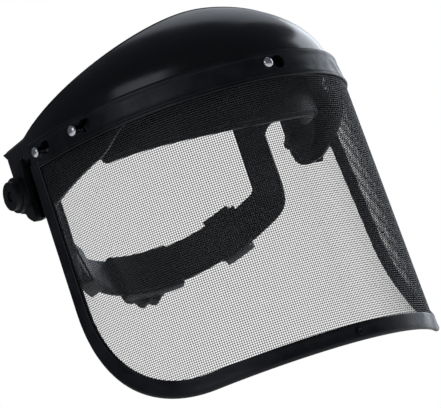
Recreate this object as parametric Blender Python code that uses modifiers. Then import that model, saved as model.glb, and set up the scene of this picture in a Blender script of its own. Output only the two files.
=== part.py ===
"""Brow-guard face shield with a woven wire visor: crown, clip-on visor, and headgear with a nape ratchet.

Metres. The wearer looks along -Y, +X is the wearer's left and +Z is up. The origin is the middle of the
line through the two side pivots, about which the crown and the visor tilt up.
"""

import math

import bmesh
import bpy
from mathutils import Matrix, Vector

MM = 0.001

# Crown: a half ellipsoid over an oval skirt, open at the back
PLAN_CENTRE = -19.5 * MM  # Y of the widest point of the crown and the visor
PLAN_POWER = 1.032  # makes the plan a little leaner than an ellipse
CROWN_HALF_WIDTH = 108.4 * MM
CROWN_HALF_DEPTH = 120.0 * MM
CROWN_HEIGHT = 63.7 * MM
DOME_POWER = 1.87
CREASE_Z = 24.5 * MM  # where the dome meets the skirt
CROWN_WALL = 2.2 * MM
RIM_SIDE = 7.5 * MM  # height of the rear rim above the crease at the ears
RIM_RISE = 42.5 * MM  # further rise of that rim at the top
EAR_REACH = 106.0  # degrees round from the front to the rear edge of an ear
EAR_TIP_SWEEP = 3.0  # degrees that the top of that edge leans back
EAR_DROP = -20.5 * MM

# Visor: a sheet bent round the skirt, wider at the bottom
VISOR_HALF_WIDTH_TOP = 113.2 * MM
VISOR_HALF_WIDTH_BOTTOM = 120.0 * MM
VISOR_HALF_DEPTH_TOP = 124.6 * MM
VISOR_HALF_DEPTH_BOTTOM = 122.2 * MM
STRIP_LEAN = 2.4 * MM  # how far the sheet leans in at its top edge, behind the strip
VISOR_TOP_Z = 24.6 * MM
RIM_BOTTOM_Z = 6.5 * MM
VISOR_BOTTOM_Z = -162.0 * MM
VISOR_SAG = 5.4 * MM  # the bottom corners hang this much lower than the front
EDGE_ANGLE_TOP = 86.9  # degrees round from the front to the side edges
EDGE_ANGLE_BOTTOM = 82.2
CORNER_RADIUS = 78.0 * MM
MESH_THICKNESS = 0.4 * MM
SHEET_INSET = 0.9 * MM  # how far the sheet stops short of the binding's fold
CHANNEL_HALF_GAP = 0.5 * MM
BINDING_WALL = 1.4 * MM
BINDING_REACH = 8.4 * MM  # how far the binding covers the sheet
BINDING_TOP_Z = 11.0 * MM
RIM_WALL = 0.8 * MM

# Studs that hold the visor, at Z and degrees round from the front
STUD_Z = 16.5 * MM
STUDS = {
    "front": 0.0,
    "left_front": 65.7,
    "left_side": 82.7,
    "right_front": -65.7,
    "right_side": -82.7,
}
STUD_SHANK = 1.9 * MM
STUD_HEAD = 3.3 * MM
KEYHOLE_RADIUS = 4.4 * MM
KEYHOLE_SHIFT = 9.5 * MM
SLOT_HALF = 2.3 * MM

# Headband: an oval round the head
HEAD_CENTRE = -24.0 * MM
HEAD_HALF_WIDTH = 88.0 * MM
HEAD_HALF_DEPTH = 98.0 * MM
BAND_THICKNESS = 2.0 * MM
BAND_END = 118.0
BAND_TOP_SIDE = 30.0 * MM
BAND_TOP_DIP = 14.0 * MM
PAD_END = 73.0
PAD_THICKNESS = 6.2 * MM
ARM_FRONT = 107.0
ARM_BACK = 121.0

# Side pivots, outwards from the headband's tab to the knob's face
TAB_X = 102.6 * MM
TAB_END = 9.6 * MM
TAB_WIDTH = 24.0 * MM
BOLT_RADIUS = 3.0 * MM
BOLT_HOLE = 3.4 * MM
LOBE_RADIUS = 23.2 * MM
LOBE_WAY = (0, -0.41, -0.91)  # where one of the three lobes points
HUB_RADIUS = 9.4 * MM
HUB_FACE_X = 121.5 * MM

# Nape strap: an arc about a tilted axis
NAPE_CENTRE = Vector((0, 1.6 * MM, -28.2 * MM))
NAPE_TILT = math.radians(20)
NAPE_RADIUS = 77.0 * MM
STRAP_HALF_WIDTH = 14.5 * MM
STRAP_THICKNESS = 1.6 * MM
STRAP_GAP = 0.3 * MM
STRAP_OUTER_ANGLE = 60.0
STRAP_INNER_ANGLE = 14.0
RACK_START = -10.4  # degrees of arc past the pinion
RACK_END = 17.0
PINION_TEETH = 10
MODULE = 1.25 * MM
PINION_PITCH_RADIUS = PINION_TEETH * MODULE / 2
NAPE_KNOB_RADIUS = 19.5 * MM

# Strap over the head
TOP_STRAP_Y = -30.0 * MM
TOP_STRAP_WIDTH = 18.0 * MM
TOP_STRAP_HALF_SPAN = 89.1 * MM
TOP_STRAP_FOOT_Z = 22.0 * MM
TOP_STRAP_RISE = 52.0 * MM

REAR = Vector((0, math.cos(NAPE_TILT), -math.sin(NAPE_TILT)))  # from the nape's axis to its middle
NAPE_UP = Vector((0, math.sin(NAPE_TILT), math.cos(NAPE_TILT)))
SIDES = {"left": 1, "right": -1}


# ---------------------------------------------------------------- helpers


def clear_scene():
    for old in list(bpy.data.objects):
        bpy.data.objects.remove(old)


def new_collection(name):
    made = bpy.data.collections.new(name)
    bpy.context.scene.collection.children.link(made)
    return made


def finish(name, colour, roughness, metallic=0.0):
    """A plain surface finish."""
    made = bpy.data.materials.new(name)
    made.use_nodes = True
    shader = made.node_tree.nodes["Principled BSDF"]
    shader.inputs["Base Color"].default_value = (*colour, 1)
    shader.inputs["Roughness"].default_value = roughness
    shader.inputs["Metallic"].default_value = metallic
    return made


def smoothstep(low, high, value):
    share = min(1.0, max(0.0, (value - low) / (high - low)))
    return share * share * (3 - 2 * share)


def object_of(name, shape, material=None, cutter=False):
    """A new object from a bmesh, in the face shield's collection or among its cutters."""
    mesh = bpy.data.meshes.new(name)
    shape.to_mesh(mesh)
    shape.free()
    made = bpy.data.objects.new(name, mesh)
    if cutter:
        cutters.objects.link(made)
        made.hide_render = True
        made.display_type = "WIRE"
        return made
    parts.objects.link(made)
    if material:
        mesh.materials.append(material)
    mesh.shade_smooth()
    mesh.set_sharp_from_angle(angle=math.radians(35))
    return made


def mapped_grid(columns, rows, place):
    """A grid whose points are moved to place(u, v), with u and v from 0 to 1."""
    shape = bmesh.new()
    bmesh.ops.create_grid(shape, x_segments=columns, y_segments=rows, size=0.5)
    for point in shape.verts:
        point.co = place(point.co.x + 0.5, point.co.y + 0.5)
    return shape


def shell(name, columns, rows, place, thickness, material, outwards=True):
    """A mapped grid given a wall on one side of it."""
    made = object_of(name, mapped_grid(columns, rows, place), material)
    wall = made.modifiers.new("wall", "SOLIDIFY")
    wall.thickness = thickness
    wall.offset = 1 if outwards else -1
    return made


def mapped_block(name, counts, place, material=None, cutter=False):
    """A box of counts cells each way, bent by place(u, v, w) with each from 0 to 1."""
    shape = bmesh.new()
    bmesh.ops.create_cube(shape, size=1.0)
    for axis, count in enumerate(counts):
        direction = Vector([1.0 if i == axis else 0.0 for i in range(3)])
        for step in range(1, count):
            geometry = shape.verts[:] + shape.edges[:] + shape.faces[:]
            bmesh.ops.bisect_plane(
                shape,
                geom=geometry,
                plane_co=direction * (step / count - 0.5),
                plane_no=direction,
            )
    for point in shape.verts:
        point.co = place(*(x + 0.5 for x in point.co))
    shape.normal_update()
    bmesh.ops.recalc_face_normals(shape, faces=shape.faces[:])
    return object_of(name, shape, material, cutter)


def along(start, end):
    """The turn and place that take +Z onto the line from start to end."""
    line = Vector(end) - Vector(start)
    turn = line.to_track_quat("Z", "Y").to_matrix().to_4x4()
    return Matrix.Translation(Vector(start)) @ turn, line.length


def rod(name, start, end, radius, material=None, cutter=False, sides=24):
    """A plain round bar from start to end."""
    turn, length = along(start, end)
    shape = bmesh.new()
    bmesh.ops.create_cone(
        shape,
        cap_ends=True,
        segments=sides,
        radius1=radius,
        radius2=radius,
        depth=length,
        matrix=Matrix.Translation((0, 0, length / 2)),
    )
    made = object_of(name, shape, material, cutter)
    made.matrix_world = turn
    return made


def turned(name, profile, start, direction, material, steps=24):
    """A turned piece. The profile is (radius, distance along), from the far end to the near one."""
    mesh = bpy.data.meshes.new(name)
    points = [(radius, 0, height) for radius, height in profile]
    mesh.from_pydata(points, [(i, i + 1) for i in range(len(points) - 1)], [])
    made = bpy.data.objects.new(name, mesh)
    parts.objects.link(made)
    mesh.materials.append(material)
    spin = made.modifiers.new("spin", "SCREW")
    spin.steps = spin.render_steps = steps
    spin.use_merge_vertices = True
    spin.merge_threshold = 0.00001
    spin.use_smooth_shade = True
    turn, _ = along(start, Vector(start) + Vector(direction))
    made.matrix_world = turn
    return made


def cut(target, *tools):
    for tool in tools:
        step = target.modifiers.new("cut", "BOOLEAN")
        step.operation = "DIFFERENCE"
        step.object = tool


def join(target, *tools):
    """Adds the tools' shapes to the target, whose own shape they overlap."""
    for tool in tools:
        step = target.modifiers.new("join", "BOOLEAN")
        step.operation = "UNION"
        step.object = tool


# ---------------------------------------------------------------- curves of the design


def plan_point(degrees, half_width, half_depth):
    """A point of the crown's or visor's plan: half an ellipse in front, then straight back beside the ears."""
    angle = math.radians(degrees)
    across, ahead = abs(math.sin(angle)) ** PLAN_POWER, abs(math.cos(angle)) ** PLAN_POWER
    y = PLAN_CENTRE - half_depth * math.copysign(ahead, math.cos(angle))
    x = half_width if abs(degrees) > 90 else half_width * across
    return Vector((math.copysign(x, degrees), y, 0))


def plan_normal(degrees, half_width, half_depth):
    angle = math.radians(max(-90, min(90, degrees)))
    return Vector((math.sin(angle) / half_width, -math.cos(angle) / half_depth, 0)).normalized()


def crown_rim(degrees):
    """Height of the rear rim above the crease."""
    share = max(0.0, math.cos(math.radians(degrees)))
    return RIM_SIDE + RIM_RISE * share**1.08


def skirt_bottom(degrees):
    """Z of the skirt's lower edge: short in front, deep at the ears, rounded up at their rear corner."""
    away = abs(degrees)
    low = 8.0 * MM - 14.0 * MM * smoothstep(48, 63, away)
    low += (EAR_DROP + 6.0 * MM) * min(1.0, max(0.0, (away - 63) / 27))
    corner = max(0.0, (away - 96) / (EAR_REACH - 96))
    return low + 13.0 * MM * (1 - math.sqrt(max(0.0, 1 - corner**2)))


def crown_point(u, v):
    """The crown's outer surface: u goes round from the right ear to the left one, v down from the rim."""
    nominal = (2 * u - 1) * EAR_REACH
    degrees = nominal * (1 + EAR_TIP_SWEEP / EAR_REACH * max(0.0, 1 - v / 0.45))
    rim = crown_rim(nominal)
    dome_share = 0.62
    if v <= dome_share:
        height = rim * (1 - v / dome_share)
        spread = math.sqrt(1 - (height / CROWN_HEIGHT) ** DOME_POWER)
        place = plan_point(degrees, CROWN_HALF_WIDTH * spread, CROWN_HALF_DEPTH * spread)
        if abs(degrees) > 90:
            place.x = math.copysign(CROWN_HALF_WIDTH * spread, degrees)
        return place + Vector((0, 0, CREASE_Z + height))
    down = (v - dome_share) / (1 - dome_share)
    place = plan_point(degrees, CROWN_HALF_WIDTH, CROWN_HALF_DEPTH)
    return place + Vector((0, 0, CREASE_Z + (skirt_bottom(nominal) - CREASE_Z) * down))


def visor_drop(z):
    return (RIM_BOTTOM_Z - z) / (RIM_BOTTOM_Z - VISOR_BOTTOM_Z)


def visor_lean(z):
    return STRIP_LEAN * max(0.0, (z - RIM_BOTTOM_Z) / (VISOR_TOP_Z - RIM_BOTTOM_Z))


def visor_half_width(z):
    flare = (VISOR_HALF_WIDTH_BOTTOM - VISOR_HALF_WIDTH_TOP) * max(0.0, visor_drop(z))
    return VISOR_HALF_WIDTH_TOP + flare - visor_lean(z)


def visor_half_depth(z):
    flare = (VISOR_HALF_DEPTH_BOTTOM - VISOR_HALF_DEPTH_TOP) * max(0.0, visor_drop(z))
    return VISOR_HALF_DEPTH_TOP + flare - visor_lean(z)


def visor_point(degrees, z, out=0.0):
    """A point of the visor's middle surface, or out from it."""
    size = visor_half_width(z), visor_half_depth(z)
    place = plan_point(degrees, *size) + plan_normal(degrees, *size) * out
    place.z = z
    return place


def visor_pace(degrees, z):
    """Metres of visor per degree round."""
    angle = math.radians(degrees)
    across = visor_half_width(z) * math.cos(angle)
    back = visor_half_depth(z) * math.sin(angle)
    return math.hypot(across, back) * math.pi / 180


def visor_edge(z):
    """Degrees round to the visor's side edge."""
    return EDGE_ANGLE_TOP + (EDGE_ANGLE_BOTTOM - EDGE_ANGLE_TOP) * max(0.0, visor_drop(z))


def visor_bottom(degrees):
    """Z of the straight part of the visor's bottom edge."""
    return VISOR_BOTTOM_Z - VISOR_SAG * (1 - math.cos(math.radians(degrees)))


def visor_floor(share):
    """Z of the visor's lower edge at this share, from -1 to 1, of the way round, with its rounded corners."""
    degrees = abs(share) * EDGE_ANGLE_BOTTOM
    bottom = visor_bottom(degrees)
    pace = visor_pace(70, bottom)
    inside = (EDGE_ANGLE_BOTTOM - degrees) * pace
    if inside >= CORNER_RADIUS:
        return bottom
    return bottom + CORNER_RADIUS - math.sqrt(CORNER_RADIUS**2 - (CORNER_RADIUS - inside) ** 2)


def head_point(degrees, z, out=0.0):
    """A point of the head's oval, or out from it."""
    angle = math.radians(degrees)
    place = Vector((HEAD_HALF_WIDTH * math.sin(angle), HEAD_CENTRE - HEAD_HALF_DEPTH * math.cos(angle), z))
    normal = Vector((math.sin(angle) / HEAD_HALF_WIDTH, -math.cos(angle) / HEAD_HALF_DEPTH, 0))
    return place + normal.normalized() * out


def pad_bottom(degrees):
    return -3.6 * MM - 10.4 * MM * max(0.0, math.cos(math.radians(degrees))) ** 2


def band_bottom(degrees):
    low = pad_bottom(degrees) + 2.5 * MM
    low += (13.0 * MM - low) * smoothstep(68, 92, abs(degrees))
    # a fillet where the edge meets the rear arm
    corner = min(1.0, max(0.0, 1 + (abs(degrees) - ARM_FRONT) / 9))
    return low - 7.0 * MM * (1 - math.sqrt(1 - corner**2))


def band_top(degrees):
    return BAND_TOP_SIDE - BAND_TOP_DIP * max(0.0, math.cos(math.radians(degrees))) ** 2


def nape_point(radius, degrees, height):
    """A point by its distance from the nape's axis, degrees from the middle, and height along the axis."""
    angle = math.radians(degrees)
    spoke = Vector((math.sin(angle), 0, 0)) + REAR * math.cos(angle)
    return NAPE_CENTRE + spoke * radius + NAPE_UP * height


def nape_block(name, radii, angles, heights, steps, material=None, cutter=False):
    """A box bent round the nape's axis."""

    def place(u, v, w):
        return nape_point(
            radii[0] + (radii[1] - radii[0]) * v,
            angles[0] + (angles[1] - angles[0]) * u,
            heights[0] + (heights[1] - heights[0]) * w,
        )

    return mapped_block(name, (steps, 1, 1), place, material, cutter)


# ---------------------------------------------------------------- crown and visor


def stud_lines():
    """Each stud's name with its angle, a point of the visor's middle surface, and the way out."""
    for name, degrees in STUDS.items():
        size = visor_half_width(STUD_Z), visor_half_depth(STUD_Z)
        yield name, degrees, visor_point(degrees, STUD_Z), plan_normal(degrees, *size)


def make_crown():
    crown = shell("crown_shell", 52, 10, crown_point, CROWN_WALL, black_gloss)
    for name, _, point, normal in stud_lines():
        near, far = point - normal * 0.012, point + normal * 0.01
        cut(crown, rod(f"hole_{name}", near, far, STUD_SHANK + 0.3 * MM, cutter=True))
    for side, sign in SIDES.items():
        for label, y, z, radius in (("pivot", 0, 0, BOLT_HOLE), ("spare", -8.0 * MM, 20.3 * MM, 1.6 * MM)):
            ends = [(sign * 0.1, y, z), (sign * 0.12, y, z)]
            cut(crown, rod(f"{label}_hole_{side}", *ends, radius, cutter=True))
    return crown


def make_studs():
    """Domed rivets through the crown. The visor's keyholes slip behind their heads."""
    under_head = CHANNEL_HALF_GAP + RIM_WALL + 0.7 * MM
    for name, degrees, point, normal in stud_lines():
        inner = crown_inner_gap(degrees) + 0.9 * MM
        profile = [
            (0, under_head + 2.0 * MM),
            (1.5 * MM, under_head + 1.8 * MM),
            (2.6 * MM, under_head + 1.2 * MM),
            (STUD_HEAD, under_head + 0.4 * MM),
            (STUD_HEAD, under_head),
            (STUD_SHANK, under_head),
            (STUD_SHANK, -inner - 1.2 * MM),
            (3.0 * MM, -inner - 1.2 * MM),
            (3.0 * MM, -inner - 2.0 * MM),
            (0, -inner - 2.0 * MM),
        ]
        turned(f"visor_stud_{name}", profile, point, normal, nickel, steps=16)
        washer = [
            (2.2 * MM, -inner),
            (4.8 * MM, -inner),
            (4.8 * MM, -inner - 0.8 * MM),
            (2.2 * MM, -inner - 0.8 * MM),
            (2.2 * MM, -inner),
        ]
        turned(f"stud_washer_{name}", washer, point, normal, nickel, steps=16)


def crown_inner_gap(degrees):
    """How far in from the visor's middle surface the crown's inner wall lies, at a stud."""
    out = visor_point(degrees, STUD_Z)
    wall = plan_point(degrees, CROWN_HALF_WIDTH, CROWN_HALF_DEPTH)
    return Vector((out.x - wall.x, out.y - wall.y)).length + CROWN_WALL


def keyhole_cutters(name, degrees, point, normal):
    """A round opening beside the stud and the slot that joins them, through the rim and the sheet."""
    way = 1 if degrees <= 0 else -1  # towards the front on both sides, and to the wearer's left in front
    beside = visor_point(degrees + way * KEYHOLE_SHIFT / visor_pace(degrees, STUD_Z), STUD_Z)
    deep = 6.0 * MM
    for label, centre, radius in (("round", beside, KEYHOLE_RADIUS), ("end", point, SLOT_HALF)):
        ends = (centre - normal * deep, centre + normal * deep)
        yield rod(f"keyhole_{label}_{name}", *ends, radius, cutter=True)
    run = (beside - point) - normal * (beside - point).dot(normal)
    middle = point + run / 2

    def place(u, v, w):
        return middle + run * (u - 0.5) + normal * deep * (2 * v - 1) + Vector((0, 0, SLOT_HALF * (2 * w - 1)))

    yield mapped_block(f"keyhole_slot_{name}", (1, 1, 1), place, cutter=True)


def channel_profile(reach, half_gap, nose=0.7 * MM):
    """A U open at one end, as (distance in from the edge, distance out from the sheet)."""
    return [
        (reach, -half_gap),
        (-0.1 * MM, -half_gap),
        (-nose, 0),
        (-0.1 * MM, half_gap),
        (reach, half_gap),
    ]


def profile_at(profile, share):
    """The profile's point at this share of its count of sides."""
    position = share * (len(profile) - 1)
    index = min(int(position + 1e-6), len(profile) - 2)
    part = position - index
    (a, b), (c, d) = profile[index], profile[index + 1]
    return a + (c - a) * part, b + (d - b) * part


def make_visor():
    keyholes = [tool for line in stud_lines() for tool in keyhole_cutters(*line)]

    # the woven sheet, as one thin plate
    def sheet_point(u, v):
        share = math.sin((u - 0.5) * math.pi)
        top = VISOR_TOP_Z - RIM_WALL - 2.0 * MM
        under_strip = 1 / 8  # the first row of cells
        if v <= under_strip:
            z = top + (RIM_BOTTOM_Z - top) * v / under_strip
        else:
            below = (v - under_strip) / (1 - under_strip)
            z = RIM_BOTTOM_Z + (visor_floor(share) + SHEET_INSET - RIM_BOTTOM_Z) * below
        return visor_point(share * (visor_edge(z) - SHEET_INSET / visor_pace(85, z)), z)

    mesh = shell("visor_mesh", 44, 8, sheet_point, MESH_THICKNESS, black_wire)
    mesh.modifiers["wall"].offset = 0
    cut(mesh, *keyholes)

    # the strip folded over the sheet's top edge
    fold = channel_profile(VISOR_TOP_Z - RIM_WALL - RIM_BOTTOM_Z, CHANNEL_HALF_GAP)

    def rim_point(u, v):
        inwards, out = profile_at(fold, v)
        return visor_point((2 * u - 1) * EDGE_ANGLE_TOP, VISOR_TOP_Z - RIM_WALL - inwards, out)

    rim = shell("visor_top_rim", 48, len(fold) - 1, rim_point, RIM_WALL, black_vinyl, outwards=False)
    for side, sign in SIDES.items():
        # room for the upper end of the binding
        inner = EDGE_ANGLE_TOP - (BINDING_REACH + 0.5 * MM) / visor_pace(85, 0)

        def corner(u, v, w, sign=sign, inner=inner):
            return visor_point(
                sign * (inner + (95 - inner) * u),
                -0.01 + (BINDING_TOP_Z + 0.3 * MM + 0.01) * w,
                (2 * v - 1) * 8 * MM,
            )

        cut(rim, mapped_block(f"rim_corner_{side}", (2, 1, 1), corner, cutter=True))
    cut(rim, *keyholes)

    # the channel round the sides and the bottom
    route = binding_route()
    lips = channel_profile(BINDING_REACH, CHANNEL_HALF_GAP)

    def binding_point(u, v):
        degrees, z, lean = route[round(u * (len(route) - 1))]
        inwards, out = profile_at(lips, v)
        turned_by = inwards * math.cos(lean) / visor_pace(degrees, z)
        return visor_point(degrees + turned_by, z + inwards * math.sin(lean), out)

    binding = shell("visor_binding", len(route) - 1, len(lips) - 1, binding_point, BINDING_WALL, black_vinyl)
    middle = visor_point(0, VISOR_BOTTOM_Z + 3.6 * MM)
    reach = Vector((0, -(CHANNEL_HALF_GAP + BINDING_WALL + 0.3 * MM), 0))
    cut(mesh, rod("eyelet_hole_mesh", middle - reach * 3, middle + reach * 3, 1.9 * MM, cutter=True))
    cut(binding, bpy.data.objects["eyelet_hole_mesh"])
    eyelet = [
        (0, 3.0 * MM),
        (2.4 * MM, 2.9 * MM),
        (2.4 * MM, 2.5 * MM),
        (1.5 * MM, 2.5 * MM),
        (1.5 * MM, -2.5 * MM),
        (2.4 * MM, -2.5 * MM),
        (2.4 * MM, -2.9 * MM),
        (0, -3.0 * MM),
    ]
    turned("binding_rivet", eyelet, middle, (0, -1, 0), black_satin, steps=16)


def binding_route():
    """(degrees round, Z, direction inwards in the sheet) along the right side, the bottom and the left side."""
    half = []
    corner_z = visor_bottom(EDGE_ANGLE_BOTTOM) + CORNER_RADIUS
    side_steps, corner_steps, bottom_steps = 8, 9, 12
    half.append((-visor_edge(BINDING_TOP_Z), BINDING_TOP_Z, 0.0))
    for i in range(side_steps):
        z = RIM_BOTTOM_Z + (corner_z - RIM_BOTTOM_Z) * i / side_steps
        half.append((-visor_edge(z), z, 0.0))
    pace = visor_pace(70, corner_z - CORNER_RADIUS)
    centre = EDGE_ANGLE_BOTTOM - CORNER_RADIUS / pace
    for i in range(corner_steps):
        angle = math.pi / 2 * i / corner_steps
        degrees = centre + CORNER_RADIUS * math.cos(angle) / pace
        z = visor_bottom(degrees) + CORNER_RADIUS * (1 - math.sin(angle))
        edge = visor_edge(z) / EDGE_ANGLE_BOTTOM
        half.append((-degrees * (1 + (edge - 1) * math.cos(angle)), z, angle))
    for i in range(bottom_steps + 1):
        degrees = centre * (1 - i / bottom_steps)
        half.append((-degrees, visor_bottom(degrees), math.pi / 2))
    return half + [(-degrees, z, math.pi - lean) for degrees, z, lean in reversed(half[:-1])]


# ---------------------------------------------------------------- side pivots


def lobed_outline(radius, waist, lobes):
    """Round a knob: many full round lobes, or a few narrow ones, with a round waist between them."""
    points_per_lobe, sharpness = (8, 0.8) if lobes > 4 else (22, 5)
    count = lobes * points_per_lobe
    for i in range(count):
        angle = 2 * math.pi * i / count
        swell = 0.5 + 0.5 * math.cos(lobes * angle)
        yield angle, waist + (radius - waist) * swell**sharpness


def lobed_plate(name, radius, waist, near, far, material, lobes, phase):
    """A lobed plate between two heights along +Z."""
    curve = bpy.data.curves.new(name, "CURVE")
    curve.dimensions = "2D"
    curve.fill_mode = "BOTH"
    curve.extrude = (far - near) / 2
    curve.resolution_u = 1
    line = curve.splines.new("POLY")
    outline = list(lobed_outline(radius, waist, lobes))
    line.points.add(len(outline) - 1)
    for point, (angle, r) in zip(line.points, outline):
        point.co = (r * math.cos(angle + phase), r * math.sin(angle + phase), 0, 1)
    line.use_cyclic_u = True
    drawn = bpy.data.objects.new(name + "_outline", curve)
    cutters.objects.link(drawn)
    bpy.context.view_layer.update()
    mesh = bpy.data.meshes.new_from_object(drawn.evaluated_get(bpy.context.evaluated_depsgraph_get()))
    bpy.data.objects.remove(drawn)
    shape = bmesh.new()
    shape.from_mesh(mesh)
    bmesh.ops.remove_doubles(shape, verts=shape.verts[:], dist=0.000001)
    bmesh.ops.translate(shape, verts=shape.verts[:], vec=(0, 0, (near + far) / 2))
    shape.normal_update()
    bmesh.ops.recalc_face_normals(shape, faces=shape.faces[:])
    bpy.data.meshes.remove(mesh)
    return object_of(name, shape, material)


def make_knob(name, radii, heights, start, direction, lobes, boss=None, lobe_way=(1, 0, 0)):
    """A lobed hand knob with a hub and a bore.

    radii: lobes, waist, hub, bore. heights: back, front of the lobes, hub's face, bore's end.
    """
    radius, waist, hub_radius, bore = radii
    back, lobes_front, face, bore_end = heights
    turn, _ = along(start, Vector(start) + Vector(direction))
    way = turn.to_3x3().inverted() @ Vector(lobe_way)
    knob = lobed_plate(name, radius, waist, back, lobes_front, black_satin, lobes, math.atan2(way.y, way.x))
    hub = rod(f"{name}_hub", (0, 0, back + 1.0 * MM), (0, 0, face), hub_radius, cutter=True)
    hole = rod(f"{name}_bore", (0, 0, back - 1.0 * MM), (0, 0, bore_end), bore, cutter=True)
    raised = [hub]
    if boss:
        # a wider collar between the lobes and the hub
        boss_radius, boss_face = boss
        raised.append(rod(f"{name}_boss", (0, 0, back + 0.7 * MM), (0, 0, boss_face), boss_radius, cutter=True))
    for piece in (knob, hole, *raised):
        piece.matrix_world = turn @ piece.matrix_world
    join(knob, *raised)
    cut(knob, hole)
    return knob


def make_pivots():
    for side, sign in SIDES.items():
        out = Vector((sign, 0, 0))
        bolt = [
            (0, 120.6 * MM),
            (2.4 * MM, 120.6 * MM),
            (BOLT_RADIUS, 120.0 * MM),
            (BOLT_RADIUS, 102.3 * MM),
            (5.4 * MM, 102.3 * MM),
            (5.0 * MM, 101.0 * MM),
            (3.0 * MM, 100.1 * MM),
            (0, 99.8 * MM),
        ]
        turned(f"pivot_bolt_{side}", bolt, (0, 0, 0), out, black_satin, steps=20)
        for name, near, far, outer, material in (
            ("friction_washer", 104.9, 105.9, 8.6, nylon),
            ("spring_washer", 108.8, 109.7, 7.5, zinc),
            ("knob_insert", 111.5, 117.5, 5.2, brass),
        ):
            ring = [
                (BOLT_HOLE, far * MM),
                (outer * MM, far * MM),
                (outer * MM, near * MM),
                (BOLT_HOLE, near * MM),
                (BOLT_HOLE, far * MM),
            ]
            turned(f"{name}_{side}", ring, (0, 0, 0), out, material, steps=20)
        heights = (110.1 * MM, 114.3 * MM, HUB_FACE_X, 130.0 * MM)
        radii = (LOBE_RADIUS, 12.6 * MM, HUB_RADIUS, 3.6 * MM)
        knob = make_knob(
            f"pivot_knob_{side}", radii, heights, (0, 0, 0), out,
            lobes=3, boss=(11.6 * MM, 117.6 * MM), lobe_way=LOBE_WAY,
        )
        cut(knob, rod(f"insert_seat_{side}", out * 0.1, out * 117.9 * MM, 5.6 * MM, cutter=True))


# ---------------------------------------------------------------- headgear


def make_front_band():
    def band_point(u, v):
        degrees = (2 * u - 1) * BAND_END
        low, high = band_bottom(degrees), band_top(degrees)
        return head_point(degrees, low + (high - low) * v, -0.3 * MM)

    band = shell("front_band", 86, 3, band_point, BAND_THICKNESS, black_satin, outwards=False)
    for side, sign in SIDES.items():
        tab = make_pivot_tab(side, sign)
        join(band, tab)
        for label, degrees, z in (("arm", 114, 22 * MM), ("strap", 86.5, 22 * MM)):
            middle = head_point(sign * degrees, z)
            way = head_point(sign * degrees, z, 1.0) - middle
            near, far = middle - way * 0.008, middle + way * 0.006
            hole = rod(f"{label}_peg_hole_{side}", near, far, 2.3 * MM, cutter=True)
            cut(band, hole)
    return band


def make_pivot_tab(side, sign):
    """The band's own tab, which swings out from it to the side pivot."""
    start = head_point(sign * 66, 0, -1.5 * MM)
    direction = head_point(sign * 67, 0) - head_point(sign * 66, 0)
    first = start + direction.normalized() * 26 * MM + Vector((sign * 3 * MM, 0, 0))
    second = Vector((sign * TAB_X, -34 * MM, 0))
    last = Vector((sign * TAB_X, -11 * MM, 0))

    def place(u, v):
        if u < 0.75:
            t = u / 0.75
            spot = (
                start * (1 - t) ** 3 + first * 3 * t * (1 - t) ** 2 + second * 3 * t * t * (1 - t) + last * t**3
            )
        else:
            reach = TAB_END - last.y - 0.3 * MM
            spot = last + Vector((0, reach * math.sin((u - 0.75) * 2 * math.pi), 0))
        centre = 17 * MM * (1 - smoothstep(0.15, 0.8, u))
        half = TAB_WIDTH / 2 - 3.5 * MM * (1 - smoothstep(0.0, 0.5, u))
        if u > 0.75:
            # it narrows to a round end about the pivot
            half += (TAB_END - half) * min(1.0, (spot.y - last.y) / -last.y)
            half = min(half, math.sqrt(TAB_END**2 - max(0.0, spot.y) ** 2))
        return Vector((spot.x, spot.y, centre + half * (2 * v - 1)))

    tab = object_of(f"tab_{side}", mapped_grid(24, 2, place), cutter=True)
    wall = tab.modifiers.new("wall", "SOLIDIFY")
    wall.thickness = BAND_THICKNESS
    wall.offset = sign
    cut(tab, rod(f"tab_hole_{side}", (sign * 0.095, 0, 0), (sign * 0.115, 0, 0), BOLT_HOLE, cutter=True))
    return tab


def make_sweatband():
    def pad_point(u, v, w):
        degrees = (2 * u - 1) * PAD_END
        low, high = pad_bottom(degrees), band_top(degrees) + 1.0 * MM
        round_off = 1.2 * MM * (1 - v) * (1 if 0 < w < 1 else 0)
        depth = -(BAND_THICKNESS + 0.6 * MM) - PAD_THICKNESS * (1 - v) - round_off
        return head_point(degrees, low + (high - low) * w, depth)

    mapped_block("sweatband", (36, 1, 3), pad_point, foam_grey)


def make_arm(side, sign):
    """The strap that drops from the band behind the ear and turns towards the nape."""
    radius = NAPE_RADIUS + 3.2 * MM
    turn_z = -14.0 * MM

    def edge_point(t, v):
        """Three stretches: down the oval, round the corner, and along the nape."""
        degrees = ARM_FRONT + (ARM_BACK - ARM_FRONT) * v
        height = -14.0 * MM + 27.5 * MM * v
        if t <= 1:
            return head_point(degrees, BAND_TOP_SIDE + (turn_z - BAND_TOP_SIDE) * t, 0.0)
        lap = 64.0
        start, end = head_point(degrees, turn_z, 0.0), nape_point(radius, lap, height)
        if t <= 2:
            s = t - 1
            reach = 30 * MM - 18 * MM * v
            heading = (nape_point(radius, lap - 1, height) - end).normalized()
            first, second = start - Vector((0, 0, reach)), end - heading * reach
            spot = start * (1 - s) ** 3 + first * 3 * s * (1 - s) ** 2
            spot += second * 3 * s * s * (1 - s) + end * s**3
            return spot + (spot - NAPE_CENTRE).normalized() * 1.2 * MM * 4 * v * (1 - v) * math.sin(math.pi * s)
        return nape_point(radius, lap + (40.0 - lap) * (t - 2), height)

    def place(u, v):
        spot = edge_point(3 * u, v)
        return Vector((sign * spot.x, spot.y, spot.z))

    arm = shell(f"rear_arm_{side}", 30, 4, place, 1.8 * MM, black_satin, outwards=sign > 0)
    middle = head_point(sign * 114, 22 * MM)
    way = head_point(sign * 114, 22 * MM, 1.0) - middle
    cut(arm, rod(f"arm_hole_{side}", middle - way * 0.008, middle + way * 0.006, 2.3 * MM, cutter=True))


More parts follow.
